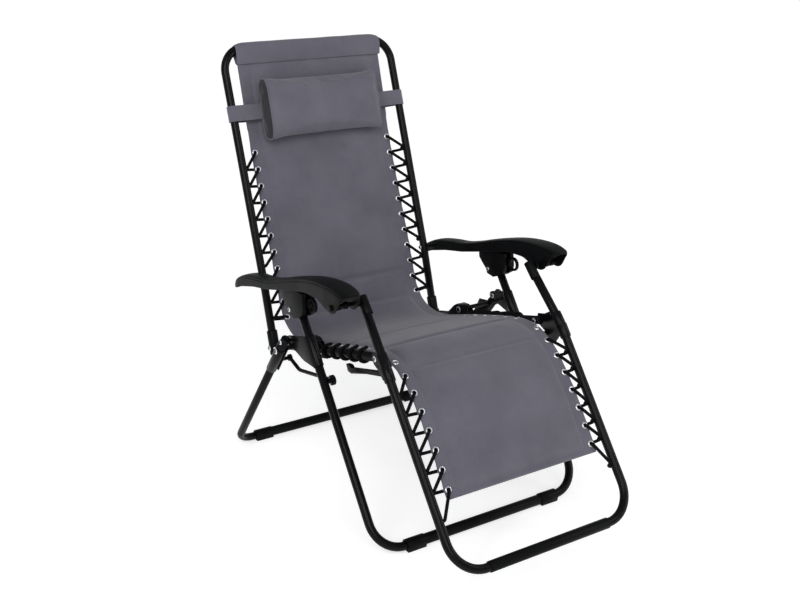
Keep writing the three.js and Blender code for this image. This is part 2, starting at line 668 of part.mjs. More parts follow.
// An elastic band from one end of the pillow round both tubes and behind the sling.
function strapRings() {
  const front = [-backHigh[1], backHigh[0]];
  const centre = pointAtHeight(BACK_BEND, BACK_TOP, 931);
  const radius = 13.2;
  const half = [[PILLOW_SIZE.halfWidth + 0.6, 6], [236, 10]];
  for (let k = 0; k <= 5; k += 1) {
    const angle = THREE.MathUtils.degToRad(100 - 40 * k);
    half.push([BACK_X + radius * Math.cos(angle), radius * Math.sin(angle)]);
  }
  half.push([226, -30.5], [120, -30.5]);
  const path = [...half, ...half.map(([x, n]) => [-x, n]).reverse()];
  return path.map(([x, n], i) => {
    const [px, pn] = path[Math.max(i - 1, 0)];
    const [qx, qn] = path[Math.min(i + 1, path.length - 1)];
    const length = Math.hypot(qx - px, qn - pn);
    const side = [(qn - pn) / length, -(qx - px) / length];
    return [[-1, -1], [1, -1], [1, 1], [-1, 1]].map(([h, t]) => {
      const place = along(along(centre, backHigh, h * STRAP_HALF), front, n + t * 1.1 * side[1]);
      return at(x + t * 1.1 * side[0], place);
    });
  });
}

addMesh('pillow_strap', loft(strapRings()), FABRIC);

export default chair;
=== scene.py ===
"""Looks for a zero gravity recliner: steel tube frames, a laced padded sling, armrests and a pillow.

Metres, +Z up, the sitter faces -Y and the sitter's left side is +X. Side shapes are (y, z) points
in millimetres in the chair's own side view; at() moves them into the shared frame.
"""
import json
import math

import bmesh
import bpy
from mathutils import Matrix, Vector, noise
from mathutils.bvhtree import BVHTree

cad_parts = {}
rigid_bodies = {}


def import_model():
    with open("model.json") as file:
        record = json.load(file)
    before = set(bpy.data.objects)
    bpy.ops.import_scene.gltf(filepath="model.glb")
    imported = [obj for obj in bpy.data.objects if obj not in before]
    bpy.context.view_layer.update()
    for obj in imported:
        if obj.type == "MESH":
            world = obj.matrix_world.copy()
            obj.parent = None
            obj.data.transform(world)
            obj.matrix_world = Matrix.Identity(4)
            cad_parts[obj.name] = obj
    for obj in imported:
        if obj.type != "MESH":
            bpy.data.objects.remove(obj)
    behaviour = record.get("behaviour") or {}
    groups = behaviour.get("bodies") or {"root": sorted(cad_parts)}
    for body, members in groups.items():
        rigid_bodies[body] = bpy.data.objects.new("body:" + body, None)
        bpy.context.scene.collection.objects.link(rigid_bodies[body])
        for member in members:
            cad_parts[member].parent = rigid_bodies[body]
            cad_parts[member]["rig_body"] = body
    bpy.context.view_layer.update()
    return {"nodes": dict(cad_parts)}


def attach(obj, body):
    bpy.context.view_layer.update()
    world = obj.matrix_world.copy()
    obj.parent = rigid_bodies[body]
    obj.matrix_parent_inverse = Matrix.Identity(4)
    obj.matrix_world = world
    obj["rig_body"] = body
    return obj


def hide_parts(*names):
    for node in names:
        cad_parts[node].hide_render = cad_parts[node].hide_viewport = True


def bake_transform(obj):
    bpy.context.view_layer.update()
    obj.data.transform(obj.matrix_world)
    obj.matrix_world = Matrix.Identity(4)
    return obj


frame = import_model()
SIDES = {"left": 1, "right": -1}

# ---------------------------------------------------------------- dimensions in millimetres
# Tubes and pivots are as in the CAD. Names ending in _X are distances from the middle plane.
SHIFT_Y = 82
TUBE_R = 11
TUBE_SIDES = 32
TUBE_LIP = 0.8
BAR_SLEEVE_R = 13.4
BACK_X = 263
KNEE_X = 261
KNEE_TOP_X = 249
RAIL_X = 236
FRONT_X = 308
REAR_X = 336
STAY_X = 285
FRONT_BAR = (-392, 14)
REAR_BAR = (335, 14)
KNEE_BAR = (-648, 75)
BACK_TOP = (482, 1098)
BACK_BEND = (279, 515)
KNEE_BEND = (-349, 468)
BACK_PIVOT = (222, 325)
KNEE_PIVOT = (-284, 465)
SEAT_PIVOT = (37, 397)
LEG_PIVOT = (14, 427)
STAY_PIVOT = (-140, 366)
ARM_PIVOT = (278, 512)
ARM_AXLE = (-232, 592)
FRONT_TOP = (-13, 538)
STUD = (88, 346)
STAY_BEND = (34, 330)
STAY_BEND_R = 34
STAY_R = 5
HOUSING_RIVET = (2, 514)
LEVER_RING = (-90, 550)
LEVER_RING_R = 15.8
LEVER_HALF_THICK = 5.2
LEVER_NECK = ((-77, 540, 562), (-68, 538, 560), (-58, 537.5, 556), (-50, 538, 552))   # y, low z, high z
LEG_REST_CORNER_R = 80
FRONT_CORNER_R = 75
REAR_CORNER_R = 48
SHALLOW_BEND_R = 400
FRONT_SLEEVE_HALF = 179.5
REAR_SLEEVE_HALF = 227.5
LEG_REST_SLEEVE_HALF = 176

SLING_HALF = 223
POCKET_HALF = 227
SEAM_X = 190
HEM_X = 203
EYELET_X = 212
EYELET_PITCH = 46
LEG_EYELET_PITCH = 46.5
BACK_CORNER_R = 66
CORD_R = 4.1
CORD_RISE = 7.2   # the cord's distance from the hem at an eyelet
WRAP_R = 15.1     # the cord's middle line round a tube
SLING_LINE = [
    (479, 1085), (443, 958), (406, 824), (358, 691), (312, 572), (276, 470), (262, 428), (240, 392),
    (204, 367), (158, 357), (100, 362), (22, 385), (-68, 413), (-162, 440), (-224, 455), (-270, 461),
    (-314, 455), (-356, 436), (-393, 408), (-454, 340), (-509, 264), (-546, 207),
]


def at(x, point):
    """A side point at x across the chair, in the shared frame."""
    return Vector((x / 1000, (point[0] + SHIFT_Y) / 1000, point[1] / 1000))


def unit(a, b):
    length = math.hypot(b[0] - a[0], b[1] - a[1])
    return ((b[0] - a[0]) / length, (b[1] - a[1]) / length)


def along(point, direction, distance):
    return (point[0] + direction[0] * distance, point[1] + direction[1] * distance)


def at_height(a, b, z):
    """Where the line through a and b reaches height z."""
    return (a[0] + (b[0] - a[0]) * (z - a[1]) / (b[1] - a[1]), z)


# ---------------------------------------------------------------- materials
WEAVE_FREQUENCY = 4200   # radians in a metre
BRAID_FREQUENCY = 2600


class Nodes:
    """Short names for building one node material; base is its tone where the nodes aren't read."""

    def __init__(self, name, base, roughness, metallic=0.0):
        self.material = bpy.data.materials.new(name)
        self.material.use_nodes = True
        self.tree = self.material.node_tree
        self.shader = self.tree.nodes["Principled BSDF"]
        self.shader.inputs["Base Color"].default_value = (*base, 1)
        self.shader.inputs["Roughness"].default_value = roughness
        self.shader.inputs["Metallic"].default_value = metallic

    def node(self, kind, **settings):
        made = self.tree.nodes.new(kind)
        for key, value in settings.items():
            setattr(made, key, value)
        return made

    def link(self, source, target):
        self.tree.links.new(source, target)

    def math(self, operation, a, b=None):
        made = self.node("ShaderNodeMath", operation=operation)
        for socket, value in zip(made.inputs, (a, b)):
            if value is None:
                continue
            if isinstance(value, (int, float)):
                socket.default_value = value
            else:
                self.link(value, socket)
        return made.outputs[0]

    def noise(self, vector, scale, detail=3.0, roughness=0.5):
        made = self.node("ShaderNodeTexNoise")
        made.inputs["Scale"].default_value = scale
        made.inputs["Detail"].default_value = detail
        made.inputs["Roughness"].default_value = roughness
        self.link(vector, made.inputs["Vector"])
        return made.outputs["Fac"]

    def ramp(self, value, *stops):
        made = self.node("ShaderNodeValToRGB")
        elements = made.color_ramp.elements
        while len(elements) < len(stops):
            elements.new(0.5)
        for element, (place, colour) in zip(elements, stops):
            element.position = place
            element.color = (*colour, 1)
        self.link(value, made.inputs["Fac"])
        return made.outputs["Color"]

    def spread(self, value, low, high):
        made = self.node("ShaderNodeMapRange")
        made.inputs["To Min"].default_value = low
        made.inputs["To Max"].default_value = high
        self.link(value, made.inputs["Value"])
        return made.outputs["Result"]

    def bump(self, height, strength, distance, under=None):
        made = self.node("ShaderNodeBump")
        made.inputs["Strength"].default_value = strength
        made.inputs["Distance"].default_value = distance
        self.link(height, made.inputs["Height"])
        if under is not None:
            self.link(under, made.inputs["Normal"])
        return made.outputs["Normal"]

    def set(self, socket, value):
        if isinstance(value, (int, float, tuple)):
            self.shader.inputs[socket].default_value = value
        else:
            self.link(value, self.shader.inputs[socket])

    def place(self):
        return self.node("ShaderNodeTexCoord").outputs["Object"]


def powder_coat():
    """Black powder coat on steel: a fine orange peel, slightly duller where it is handled."""
    n = Nodes("black_powder_coat", (0.004, 0.004, 0.005), 0.25)
    place = n.place()
    worn = n.noise(place, 14, 4)
    n.set("Base Color", n.ramp(worn, (0.3, (0.002, 0.002, 0.0026)),
                               (0.75, (0.0042, 0.0042, 0.005))))
    n.set("Roughness", n.spread(n.noise(place, 45, 3), 0.2, 0.3))
    n.set("Specular IOR Level", 0.1)
    n.set("Normal", n.bump(n.noise(place, 900, 2), 0.22, 0.0004))
    return n.material


def moulded_plastic():
    """Black nylon with a fine spark texture and a little polish from handling."""
    n = Nodes("moulded_black_plastic", (0.006, 0.0065, 0.007), 0.5)
    place = n.place()
    touched = n.noise(place, 22, 4)
    n.set("Base Color", n.ramp(touched, (0.3, (0.002, 0.0022, 0.0024)),
                               (0.8, (0.004, 0.0043, 0.0046))))
    n.set("Roughness", n.spread(touched, 0.36, 0.5))
    n.set("Specular IOR Level", 0.07)
    grain = n.bump(n.noise(place, 1600, 2), 0.3, 0.0003)
    n.set("Normal", n.bump(n.noise(place, 260, 3), 0.12, 0.0005, grain))
    return n.material


def zinc():
    """Zinc plated rivets and eyelets: brushed, a little uneven."""
    n = Nodes("zinc_plated_steel", (0.72, 0.73, 0.75), 0.3, 1.0)
    place = n.place()
    cloud = n.noise(place, 180, 3)
    n.set("Base Color", n.ramp(cloud, (0.25, (0.62, 0.63, 0.65)), (0.8, (0.86, 0.87, 0.89))))
    n.set("Roughness", n.spread(n.noise(place, 420, 3), 0.2, 0.42))
    n.set("Normal", n.bump(n.noise(place, 1200, 2), 0.15, 0.0002))
    return n.material


def braided_cord():
    """Black elastic cord with a fine diagonal braid."""
    n = Nodes("braided_black_cord", (0.005, 0.005, 0.006), 0.85)
    place = n.place()
    split = n.node("ShaderNodeSeparateXYZ")
    n.link(place, split.inputs[0])
    across, up = split.outputs[0], split.outputs[2]
    one = n.math("SINE", n.math("MULTIPLY", n.math("ADD", across, up), BRAID_FREQUENCY))
    two = n.math("SINE", n.math("MULTIPLY", n.math("SUBTRACT", across, up), BRAID_FREQUENCY))
    braid = n.math("MULTIPLY", one, two)
    tone = n.spread(braid, 0.2, 0.8)
    n.set("Base Color", n.ramp(tone, (0.2, (0.002, 0.002, 0.0025)), (0.8, (0.008, 0.008, 0.009))))
    n.set("Normal", n.bump(braid, 0.5, 0.0005))
    n.set("Specular IOR Level", 0.08)
    return n.material


def woven_fabric(name, flat, light=1.0):
    """Grey woven polyester, light times its usual tone; a light below 1 darkens it as painted shade.
    flat: the mesh has a UV map in metres.
    """
    n = Nodes(name, (0.12, 0.115, 0.145), 0.9)
    place = n.place()
    split = n.node("ShaderNodeSeparateXYZ")
    if flat:
        n.link(n.node("ShaderNodeUVMap").outputs["UV"], split.inputs[0])
        across, down = split.outputs[0], split.outputs[1]
    else:
        n.link(place, split.inputs[0])
        across = split.outputs[0]
        down = n.math("ADD", split.outputs[1], split.outputs[2])
    warp = n.math("SINE", n.math("MULTIPLY", across, WEAVE_FREQUENCY))
    weft = n.math("SINE", n.math("MULTIPLY", down, WEAVE_FREQUENCY))
    weave = n.math("MULTIPLY", warp, weft)
    cloud = n.noise(place, 9, 4, 0.6)
    fleck = n.noise(place, 700, 2, 0.7)
    tone = n.math("ADD", n.math("MULTIPLY", cloud, 0.55), n.math("MULTIPLY", fleck, 0.45))
    low = tuple(light * c for c in (0.086, 0.083, 0.107))
    high = tuple(light * c for c in (0.142, 0.138, 0.170))
    colour = n.ramp(tone, (0.3, low), (0.7, high))
    shade = n.node("ShaderNodeMix", data_type="RGBA", blend_type="MULTIPLY")
    shade.inputs[0].default_value = 1.0
    n.link(colour, shade.inputs[6])
    grid = n.ramp(n.spread(weave, 0.1, 0.9), (0.1, (0.8, 0.8, 0.8)), (0.9, (1.1, 1.1, 1.1)))
    n.link(grid, shade.inputs[7])
    n.set("Base Color", shade.outputs[2])
    n.set("Roughness", n.spread(fleck, 0.8, 0.97))
    fine = n.bump(weave, 0.35, 0.0004)
    n.set("Normal", n.bump(n.noise(place, 38, 4, 0.6), 0.25, 0.004, fine))
    n.set("Sheen Weight", 0.22)
    n.set("Sheen Roughness", 0.5)
    n.set("Specular IOR Level", 0.25)
    return n.material


STEEL = powder_coat()
PLASTIC = moulded_plastic()
ZINC = zinc()
CORD = braided_cord()
FABRIC = woven_fabric("grey_sling_weave", True)
PILLOW_FABRIC = woven_fabric("grey_pillow_weave", False)
# The pillow's end panels use the same weave at a fifth of its tone, as painted shade.
PAINTED_SHADE_GUSSET_FABRIC = woven_fabric("grey_gusset_weave_painted_shade", False, 0.2)


# ---------------------------------------------------------------- meshes
def turn(count):
    """Equal angles round a full turn."""
    return [2 * math.pi * k / count for k in range(count)]


def mark_sharp(mesh, degrees):
    """Faces outward and smooth, with edges past the angle kept sharp."""
    limit = math.radians(degrees)
    bm = bmesh.new()
    bm.from_mesh(mesh)
    bmesh.ops.recalc_face_normals(bm, faces=bm.faces)
    for face in bm.faces:
        face.smooth = True
    for edge in bm.edges:
        edge.smooth = len(edge.link_faces) == 2 and edge.calc_face_angle(0) < limit
    bm.to_mesh(mesh)
    bm.free()


def add_piece(name, verts, faces, material, body, replaced, sharp):
    """A piece that rides on body, if given, and replaces CAD nodes. sharp is in degrees."""
    mesh = bpy.data.meshes.new(name)
    mesh.from_pydata([tuple(v) for v in verts], [], faces)
    mark_sharp(mesh, sharp)
    mesh.materials.append(material)
    piece = bpy.data.objects.new(name, mesh)
    bpy.context.scene.collection.objects.link(piece)
    if body:
        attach(piece, body)
    if replaced:
        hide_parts(*replaced)
    return piece


def rings_to_mesh(rings, capped=True, closed=False):
    """Joins each ring to the next, and the last to the first where closed, as verts and faces."""
    size = len(rings[0])
    verts = [p for ring in rings for p in ring]
    faces = []
    count = len(rings)
    for r in range(count if closed else count - 1):
        a, b = r * size, ((r + 1) % count) * size
        for k in range(size):
            n = (k + 1) % size
            faces.append((a + k, a + n, b + n, b + k))
    if capped and not closed:
        faces.append(tuple(range(size)))
        faces.append(tuple((count - 1) * size + k for k in range(size)))
    return verts, faces


def merge_parts(*parts):
    verts, faces = [], []
    for part_verts, part_faces in parts:
        base = len(verts)
        verts += part_verts
        faces += [tuple(base + i for i in face) for face in part_faces]
    return verts, faces


def sheet_faces(rows, width):
    """Faces of two layers, each of rows + 1 lines of width points, closed round their edges."""
    layer = width * (rows + 1)
    faces = []
    for i in range(rows):
        for k in range(width - 1):
            a = i * width + k
            faces.append((a, a + 1, a + 1 + width, a + width))
            faces.append((layer + a + width, layer + a + 1 + width, layer + a + 1, layer + a))
    for i in range(rows):
        for k in (0, width - 1):
            a = i * width + k
            faces.append((a, a + width, layer + a + width, layer + a))
    for i in (0, rows):
        for k in range(width - 1):
            a = i * width + k
            faces.append((a, a + 1, layer + a + 1, layer + a))
    return faces


def lay_uvs(piece, uvs):
    layer = piece.data.uv_layers.new(name="cloth")
    for loop in piece.data.loops:
        layer.data[loop.index].uv = uvs[loop.vertex_index]


def rounded(points, radii, steps=14):
    """The route with its corners rounded: radii[i] belongs to points[i]."""
    route = [points[0]]
    for i in range(1, len(points) - 1):
        corner = points[i]
        if not radii[i]:
            route.append(corner)
            continue
        back = (points[i - 1] - corner).normalized()
        ahead = (points[i + 1] - corner).normalized()
        half = back.angle(ahead) / 2
        radius = radii[i] / 1000
        reach = radius / math.tan(half)
        centre = corner + (back + ahead).normalized() * (radius / math.sin(half))
        start, end = corner + back * reach - centre, corner + ahead * reach - centre
        sweep = start.angle(end)
        count = max(3, round(steps * sweep / (math.pi / 2)))
        for k in range(count + 1):
            a = math.sin((1 - k / count) * sweep) / math.sin(sweep)
            b = math.sin(k / count * sweep) / math.sin(sweep)
            route.append(centre + start * a + end * b)
    route.append(points[-1])
    return route


def sweep(route, radius, sides, end_round=0.0):
    """A round rod along the route, radius in millimetres. end_round pulls its two ends in."""
    points = [Vector(p) for p in route]
    tangents = []
    for i, p in enumerate(points):
        before, after = points[max(i - 1, 0)], points[min(i + 1, len(points) - 1)]
        tangents.append((after - before).normalized())
    normal = tangents[0].orthogonal().normalized()
    rings = []
    for i, (p, t) in enumerate(zip(points, tangents)):
        if i:
            normal = (tangents[i - 1].rotation_difference(t) @ normal).normalized()
        side = t.cross(normal)
        rings.append([p + (normal * math.cos(a) + side * math.sin(a)) * (radius / 1000)
                      for a in turn(sides)])
    if end_round:
        for ring, t, sign in ((rings[0], tangents[0], -1), (rings[-1], tangents[-1], 1)):
            centre = sum(ring, Vector()) / sides
            shrink, past = 1 - end_round / radius, t * (sign * end_round / 1000)
            lip = [centre + (v - centre) * shrink + past for v in ring]
            rings.insert(0 if sign < 0 else len(rings), lip)
    return rings_to_mesh(rings)


def lathe(start, end, profile, sides=28):
    """Rings round the axis from start towards end, one for each (distance along it, radius)."""
    axis = (end - start).normalized()
    first = axis.orthogonal().normalized()
    second = axis.cross(first)
    return [[start + axis * (h / 1000) + (first * math.cos(a) + second * math.sin(a)) * (r / 1000)
             for a in turn(sides)] for h, r in profile]


def sleeve(start, end, inner, outer, lip=1.0):
    """An open ended sleeve with softened lips, as verts and faces."""
    length = (end - start).length * 1000
    chamfer = lip * 0.3
    profile = [(0, inner), (0, outer - lip), (chamfer, outer - chamfer), (lip, outer),
               (length - lip, outer), (length - chamfer, outer - chamfer),
               (length, outer - lip), (length, inner)]
    return rings_to_mesh(lathe(start, end, profile), capped=False, closed=True)


def head(point, outward, radius, height):
    """A domed rivet head standing on point."""
    profile = [(0, radius), (height * 0.25, radius), (height * 0.6, radius * 0.86),
               (height * 0.9, radius * 0.5), (height, radius * 0.12)]
    return rings_to_mesh(lathe(point, point + outward, profile, 20))


def u_route(outline, corner_radius, bend_radius):
    """A tube's line down one side, across its bar and up the other side."""
    half = [at(x, point) for x, point in outline]
    other = [Vector((-p.x, p.y, p.z)) for p in reversed(half)]
    radii = [bend_radius] * len(outline)
    radii[-1] = corner_radius
    return rounded(half + other, radii + radii[::-1])


# ---------------------------------------------------------------- frames
back_low = unit(BACK_PIVOT, BACK_BEND)
back_high = unit(BACK_BEND, BACK_TOP)
knee_high = unit(KNEE_BEND, ARM_AXLE)
rear_up = unit(REAR_BAR, LEG_PIVOT)
rail_forward = unit(BACK_PIVOT, KNEE_PIVOT)
band_front = (-back_high[1], back_high[0])

# node: body, corner radius, radius of the shallow bend, one side's outline as (x, side point)
FRAMES = {
    "back_frame": ("back", BACK_CORNER_R, SHALLOW_BEND_R, [
        (BACK_X, along(BACK_PIVOT, back_low, -16)), (BACK_X, BACK_BEND), (BACK_X, BACK_TOP)]),
    "leg_rest_frame": ("leg_rest", LEG_REST_CORNER_R, SHALLOW_BEND_R, [
        (KNEE_TOP_X, along(ARM_AXLE, knee_high, 12)), (KNEE_X, KNEE_BEND), (KNEE_X, KNEE_BAR)]),
    "front_leg_frame": ("front_legs", FRONT_CORNER_R, 0, [
        (FRONT_X, FRONT_TOP), (FRONT_X, FRONT_BAR)]),
    "rear_leg_frame": ("rear_legs", REAR_CORNER_R, 0, [
        (REAR_X, along(LEG_PIVOT, rear_up, 12)), (REAR_X, REAR_BAR)]),
}
for node, (body, corner, bend, outline) in FRAMES.items():
    verts, faces = sweep(u_route(outline, corner, bend), TUBE_R, TUBE_SIDES, TUBE_LIP)
    add_piece(f"{node}_tube", verts, faces, STEEL, body, [node], 50)


def seat_rail(side, s):
    ends = [at(s * RAIL_X, along(BACK_PIVOT, rail_forward, -10)),
            at(s * RAIL_X, along(KNEE_PIVOT, rail_forward, 13))]
    verts, faces = sweep(ends, TUBE_R, TUBE_SIDES, TUBE_LIP)
    add_piece(f"seat_rail_tube_{side}", verts, faces, STEEL, "seat", [f"seat_rail_{side}"], 50)


def folding_stay(side, s):
    """A thin bent rod with an eye on a shank at the front leg and a turned end at the rear stud."""
    x = s * STAY_X
    rod = rounded([at(x, STAY_PIVOT), at(x, STAY_BEND), at(x, STUD)], [0, STAY_BEND_R, 0])
    eye_profile = [(0, 11.6), (1, 13), (9.5, 13), (10.5, 11.6)]
    eye = rings_to_mesh(lathe(at(x - 5.5, STAY_PIVOT), at(x + 5, STAY_PIVOT), eye_profile))
    leg_face = at(s * (FRONT_X - TUBE_R - 0.4), STAY_PIVOT)
    shank = rings_to_mesh(lathe(at(x, STAY_PIVOT), leg_face, [(0, 6), (11.5, 6)]))
    end_profile = [(0, 7.6), (1, 9), (9, 9), (10, 7.6)]
    end = rings_to_mesh(lathe(at(x - 5, STUD), at(x + 5, STUD), end_profile))
    verts, faces = merge_parts(sweep(rod, STAY_R, 18), eye, shank, end)
    replaced = [f"folding_stay_{side}"]
    add_piece(f"folding_stay_rod_{side}", verts, faces, STEEL, f"stay_{side}", replaced, 50)


for side, s in SIDES.items():
    seat_rail(side, s)
    folding_stay(side, s)


# ---------------------------------------------------------------- moulded and pressed pieces
def finished(node, material, bevel):
    """A piece that keeps its CAD shape, with the edges softened by bevel millimetres."""
    source = frame["nodes"][node]
    bm = bmesh.new()
    bm.from_mesh(source.data)
    bmesh.ops.remove_doubles(bm, verts=bm.verts, dist=1e-5)
    bmesh.ops.dissolve_limit(bm, angle_limit=math.radians(2), verts=bm.verts, edges=bm.edges)
    corner = math.radians(38)
    edges = [e for e in bm.edges if len(e.link_faces) == 2 and e.calc_face_angle(0) > corner]
    bmesh.ops.bevel(bm, geom=edges, offset=bevel / 1000, segments=2, profile=0.5,
                    affect="EDGES", clamp_overlap=True)
    bmesh.ops.triangulate(bm, faces=[f for f in bm.faces if len(f.verts) > 4])
    mesh = bpy.data.meshes.new(f"{node}_finished")
    bm.to_mesh(mesh)
    bm.free()
    mark_sharp(mesh, 40)
    mesh.materials.append(material)
    piece = bpy.data.objects.new(f"{node}_finished", mesh)
    bpy.context.scene.collection.objects.link(piece)
    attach(piece, source["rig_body"])
    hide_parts(node)


for side in SIDES:
    for node in ("leg_bracket", "rear_leg_bracket", "rail_saddle", "knee_bracket", "stop_arm"):
        finished(f"{node}_{side}", STEEL, 0.5)
    for node in ("lock_housing", "front_foot", "rear_foot", "back_end_cup"):
        finished(f"{node}_{side}", PLASTIC, 1.2)
    finished(f"armrest_axle_{side}", PLASTIC, 0.8)


# ---------------------------------------------------------------- sleeves, rivets, lever rings
def bar_sleeve(name, bar, half, body):
    verts, faces = sleeve(at(-half, bar), at(half, bar), TUBE_R + 0.3, BAR_SLEEVE_R)
    add_piece(f"{name}_skin", verts, faces, PLASTIC, body, [name], 50)


bar_sleeve("front_bar_sleeve", FRONT_BAR, FRONT_SLEEVE_HALF, "front_legs")
bar_sleeve("rear_bar_sleeve", REAR_BAR, REAR_SLEEVE_HALF, "rear_legs")
bar_sleeve("leg_rest_bar_sleeve", KNEE_BAR, LEG_REST_SLEEVE_HALF, "leg_rest")

# name, body, CAD node, side point, inner and outer x, head radius, pin radius, head height
RIVETS = [
    ("leg_rivet", "front_legs", "leg_pivot_rivet", LEG_PIVOT, 316.6, 350, 7, 4, 2.6),
    ("knee_rivet", "leg_rest", "knee_pivot_rivet", KNEE_PIVOT, 222.6, 253.5, 7.5, 4, 2.2),
    ("back_bolt", "seat", "back_pivot_bolt", BACK_PIVOT, 221, 281, 8, 4, 2.6),
    ("arm_bolt", "back", "arm_pivot_bolt", ARM_PIVOT, 247, 290.4, 7, 4, 2.6),
    ("seat_axle_bolt", "seat", "seat_axle", SEAT_PIVOT, 218, 353, 9.5, 6, 2.4),
    ("housing_rivet", "front_legs", None, HOUSING_RIVET, 288.4, 327.8, 6, 3, 2.0),
]


def rivet(side, s, name, body, node, point, x_in, x_out, radius, pin, height):
    """A black pin across x_in..x_out with a bright domed head on both ends."""
    right = Vector((s, 0, 0))
    pin_profile = [(0, pin), (x_out - x_in, pin)]
    shaft = rings_to_mesh(lathe(at(s * x_in, point), at(s * x_out, point), pin_profile, 20))
    inner = head(at(s * (x_in + height), point), -right, radius, height)
    outer = head(at(s * (x_out - height), point), right, radius, height)
    add_piece(f"{name}_{side}_shaft", *shaft, STEEL, body, [], 50)
    replaced = [f"{node}_{side}"] if node else []
    add_piece(f"{name}_{side}", *merge_parts(inner, outer), ZINC, body, replaced, 50)


def lever_ring(side, s):
    """The pull ring and the flat neck that joins it to the lock housing."""
    centre = at(s * FRONT_X, LEVER_RING)
    ring = []
    for a in turn(40):
        p = at(s * FRONT_X, (LEVER_RING[0] + LEVER_RING_R * math.cos(a),
                             LEVER_RING[1] + LEVER_RING_R * math.sin(a)))
        out = (p - centre).normalized()
        ring.append([p + out * (3.4 * math.cos(b) / 1000)
                     + Vector((LEVER_HALF_THICK * math.sin(b) / 1000, 0, 0)) for b in turn(14)])
    neck = []
    for y, low, high in LEVER_NECK:
        middle, half = (low + high) / 2, (high - low) / 2
        neck.append([at(s * (FRONT_X + LEVER_HALF_THICK * math.cos(b)), (y, middle + half * math.sin(b)))
                     for b in turn(16)])
    verts, faces = merge_parts(rings_to_mesh(ring, capped=False, closed=True), rings_to_mesh(neck))
    add_piece(f"lever_ring_{side}", verts, faces, PLASTIC, f"lever_{side}", [f"lock_lever_{side}"], 50)


def leg_rest_end_cup(side, s):
    low, high = along(ARM_AXLE, knee_high, -34), along(ARM_AXLE, knee_high, 13)
    verts, faces = sleeve(at(s * (KNEE_TOP_X + 0.9), low), at(s * KNEE_TOP_X, high), TUBE_R + 0.1, 12.4)
    add_piece(f"leg_rest_end_cup_{side}", verts, faces, PLASTIC, "leg_rest", [], 50)


for side, s in SIDES.items():
    for row in RIVETS:
        rivet(side, s, *row)
    lever_ring(side, s)
    leg_rest_end_cup(side, s)


# ---------------------------------------------------------------- armrests
# (y, z) of the top and the underside, then (y, x) of the inner and the outer side
ARM_TOP = [(-286, 634), (-240, 642), (-180, 640), (-120, 631), (-60, 616), (0, 598), (60, 578),
           (125, 560), (190, 550), (255, 536), (300, 516), (328, 494)]
ARM_UNDER = [(-286, 629), (-272, 616), (-262, 604), (-254, 586), (-234, 577), (-205, 582),
             (-160, 594), (-100, 590), (-30, 574), (50, 552), (119, 534), (196, 519), (270, 499),
             (298, 487), (328, 480)]
ARM_INNER = [(-286, 293), (-276, 283), (-262, 279.5), (-200, 278.5), (-130, 281), (-60, 284),
             (300, 284), (318, 287), (328, 294)]
ARM_OUTER = [(-286, 323), (-276, 333), (-262, 336.5), (-200, 337.5), (-130, 335), (-60, 332),
             (300, 332), (318, 329), (328, 322)]
ARM_WALL = 2.6
ARM_STEP = 2.6   # how far the groove under the top cuts in
ARM_ROOF = 5.0
ARM_STATIONS = ([-286 + 4 * k for k in range(6)] + [round(-262 + 8.4 * k, 2) for k in range(1, 69)]
                + [314, 320, 325, 328])


def smooth_value(table, x):
    """A smooth curve through (x, value) pairs."""
    for i in range(len(table) - 1):
        if x <= table[i + 1][0] or i == len(table) - 2:
            x0, v0 = table[i]
            x1, v1 = table[i + 1]
            before = table[max(i - 1, 0)]
            after = table[min(i + 2, len(table) - 1)]
            m0 = (v1 - before[1]) / (x1 - before[0])
            m1 = (after[1] - v0) / (after[0] - x0)
            t = min(max((x - x0) / (x1 - x0), 0), 1)
            h = x1 - x0
            return ((2 * t ** 3 - 3 * t ** 2 + 1) * v0 + (t ** 3 - 2 * t ** 2 + t) * h * m0
                    + (3 * t ** 2 - 2 * t ** 3) * v1 + (t ** 3 - t ** 2) * h * m1)


def linear_value(table, x):
    for (x0, v0), (x1, v1) in zip(table, table[1:]):
        if x <= x1:
            return v0 + (v1 - v0) * (x - x0) / (x1 - x0)
    return table[-1][1]


def armrest_section(y, s):
    """An upside-down channel: a crowned top, set off from the skirt by a groove on each side."""
    top = smooth_value(ARM_TOP, y)
    under = linear_value(ARM_UNDER, y)
    inner, outer = linear_value(ARM_INNER, y), linear_value(ARM_OUTER, y)
    middle, half = (inner + outer) / 2, (outer - inner) / 2
    depth = max(top - under, 3.0)
    roof = min(ARM_ROOF, depth * 0.45)
    fillet = min(5.0, depth * 0.2)
    groove = min(9.0, depth * 0.35)
    crown = [(0.0, 0.0), (0.45, -0.4), (0.72, -1.3), (0.88, -3.0)]
    points = [(half * u, top + dz * min(1, depth / 12)) for u, dz in crown]
    points += [(half * 0.955, top - groove * 0.62), (half - ARM_STEP, top - groove * 0.85),
               (half - ARM_STEP, top - groove), (half - 0.3, top - groove * 1.12),
               (half, top - groove * 1.5),
               (half, under + fillet), (half, under + 0.6), (half - 0.7, under),
               (half - ARM_WALL, under), (half - ARM_WALL - 0.3, top - roof - fillet),
               (half - ARM_WALL - 3, top - roof)]
    outline = points + [(-x, z) for x, z in reversed(points[1:])]
    return [at(s * (middle + x), (y, z)) for x, z in outline]


def channel_end(first, size):
    """Faces that close the channel's end ring, which starts at vertex first at its middle top."""
    faces = []
    for k in range((size + 1) // 2 - 1):
        a, b = first + k, first + k + 1
        c, d = first + (size - k) % size, first + (size - k - 1) % size
        faces.append((a, b, d) if k == 0 else (a, b, d, c))
    return faces


